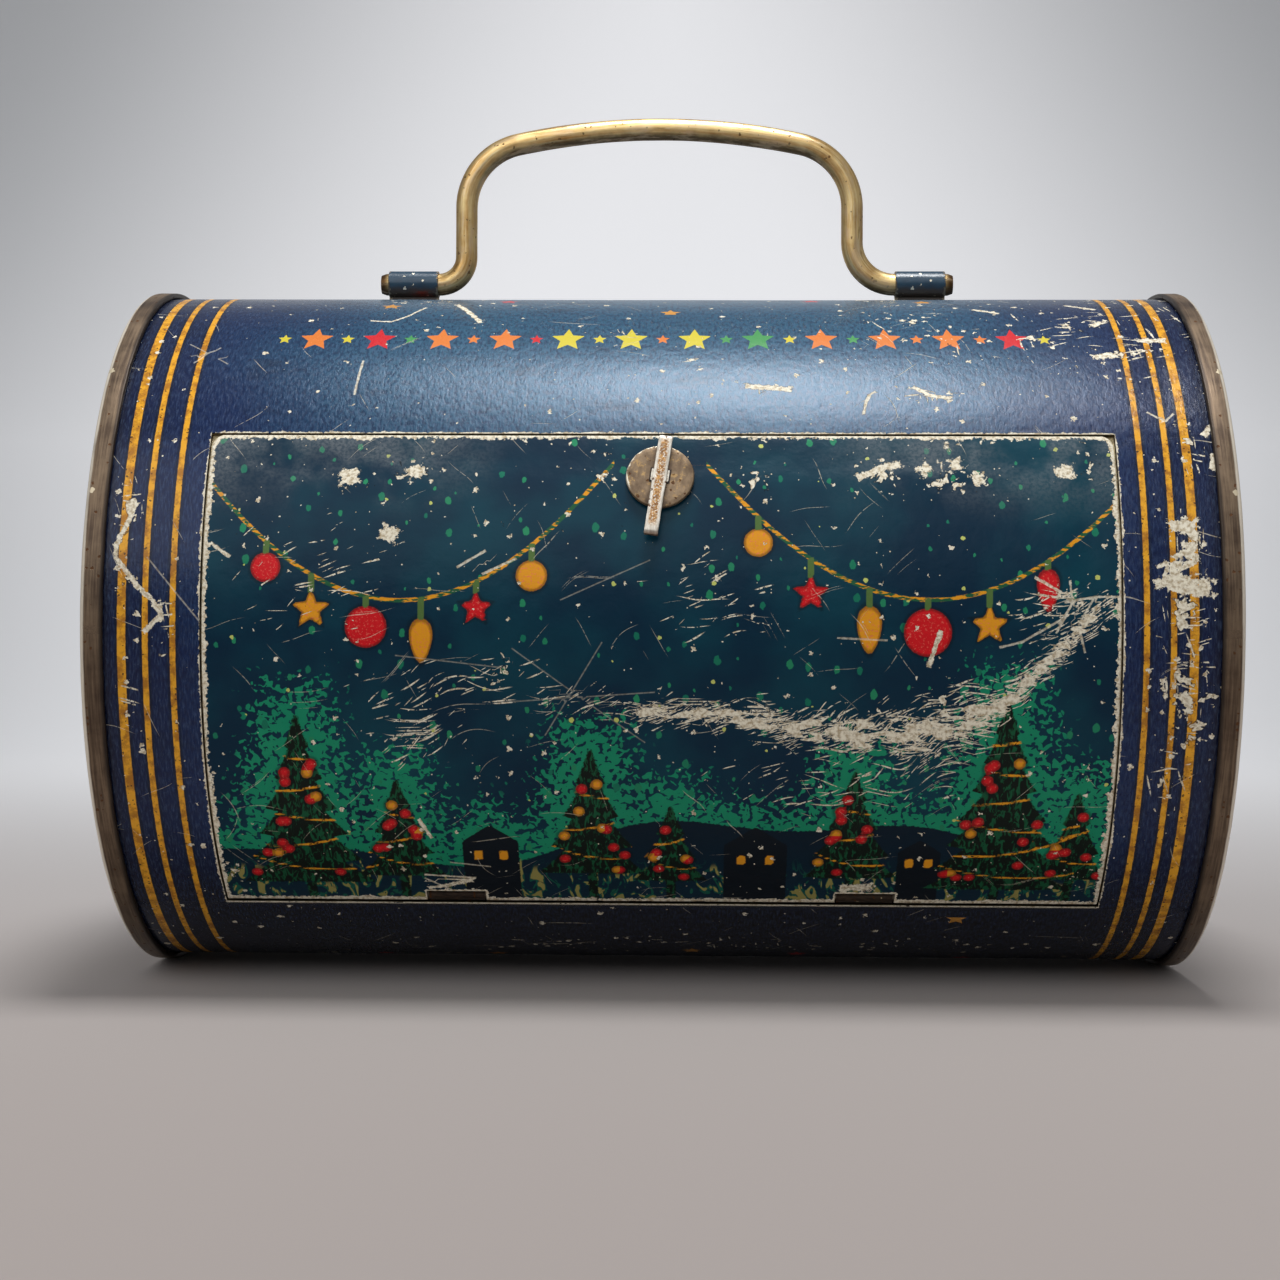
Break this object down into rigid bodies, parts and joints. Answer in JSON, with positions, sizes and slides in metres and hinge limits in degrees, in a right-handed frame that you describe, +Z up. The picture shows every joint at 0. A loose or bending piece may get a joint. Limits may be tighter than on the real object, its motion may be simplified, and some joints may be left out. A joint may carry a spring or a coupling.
{
  "type": "tin lunch box",
  "caption": "Round-bodied tinplate lunch box with a curved hinged door, a turn latch and a wire bail handle.",
  "frame": {"origin": "on the table under the middle of the body: the centre of the bounding box's base, with the body's axis 66.2 mm above it", "axes": "+X along the body's axis to the right as seen from the front, +Y to the back (the door faces -Y), +Z up to the handle"},
  "size_m": [0.2, 0.1324, 0.168],
  "materials": {
    "body_lacquer": "worn deep blue lacquer with gold lines and small stars",
    "door_lacquer": "worn dark teal lacquer with a printed winter pattern",
    "bare_tin": "brown patina on bare tinplate",
    "hinge_wire": "dull steel wire",
    "hinge_tin": "dark brown tinplate",
    "latch_tin": "brown patina on pressed tinplate",
    "lever_steel": "worn pale steel with rust specks",
    "loop_lacquer": "blue lacquer chipped at the edges",
    "handle_wire": "worn brass-coloured wire with dark patina"
  },
  "bodies": {
    "shell": {"body_shell": "body_lacquer", "end_cap_left": "bare_tin", "end_cap_right": "bare_tin", "hinge_pin": "hinge_wire", "hinge_strap_left": "hinge_tin", "hinge_strap_right": "hinge_tin", "handle_loop_left": "loop_lacquer", "handle_loop_right": "loop_lacquer"},
    "door": {"door_panel": "door_lacquer"},
    "latch": {"latch_disc": "latch_tin", "latch_lever": "lever_steel", "latch_tongue": "lever_steel"},
    "handle": {"handle_bail": "handle_wire"}
  },
  "joints": [
    {"name": "door_swing", "type": "hinge", "parent": "shell", "child": "door", "pos_m": [0, -0.04136, 0.01765], "axis": [1, 0, 0], "range_deg": [0, 80]},
    {"name": "latch_turn", "type": "hinge", "parent": "door", "child": "latch", "pos_m": [0, -0.05966, 0.09199], "axis": [0, -0.9179, 0.3968], "continuous": true},
    {"name": "handle_swing", "type": "hinge", "parent": "shell", "child": "handle", "pos_m": [0, 0, 0.1348], "axis": [1, 0, 0], "range_deg": [-100, 100]}
  ]
}
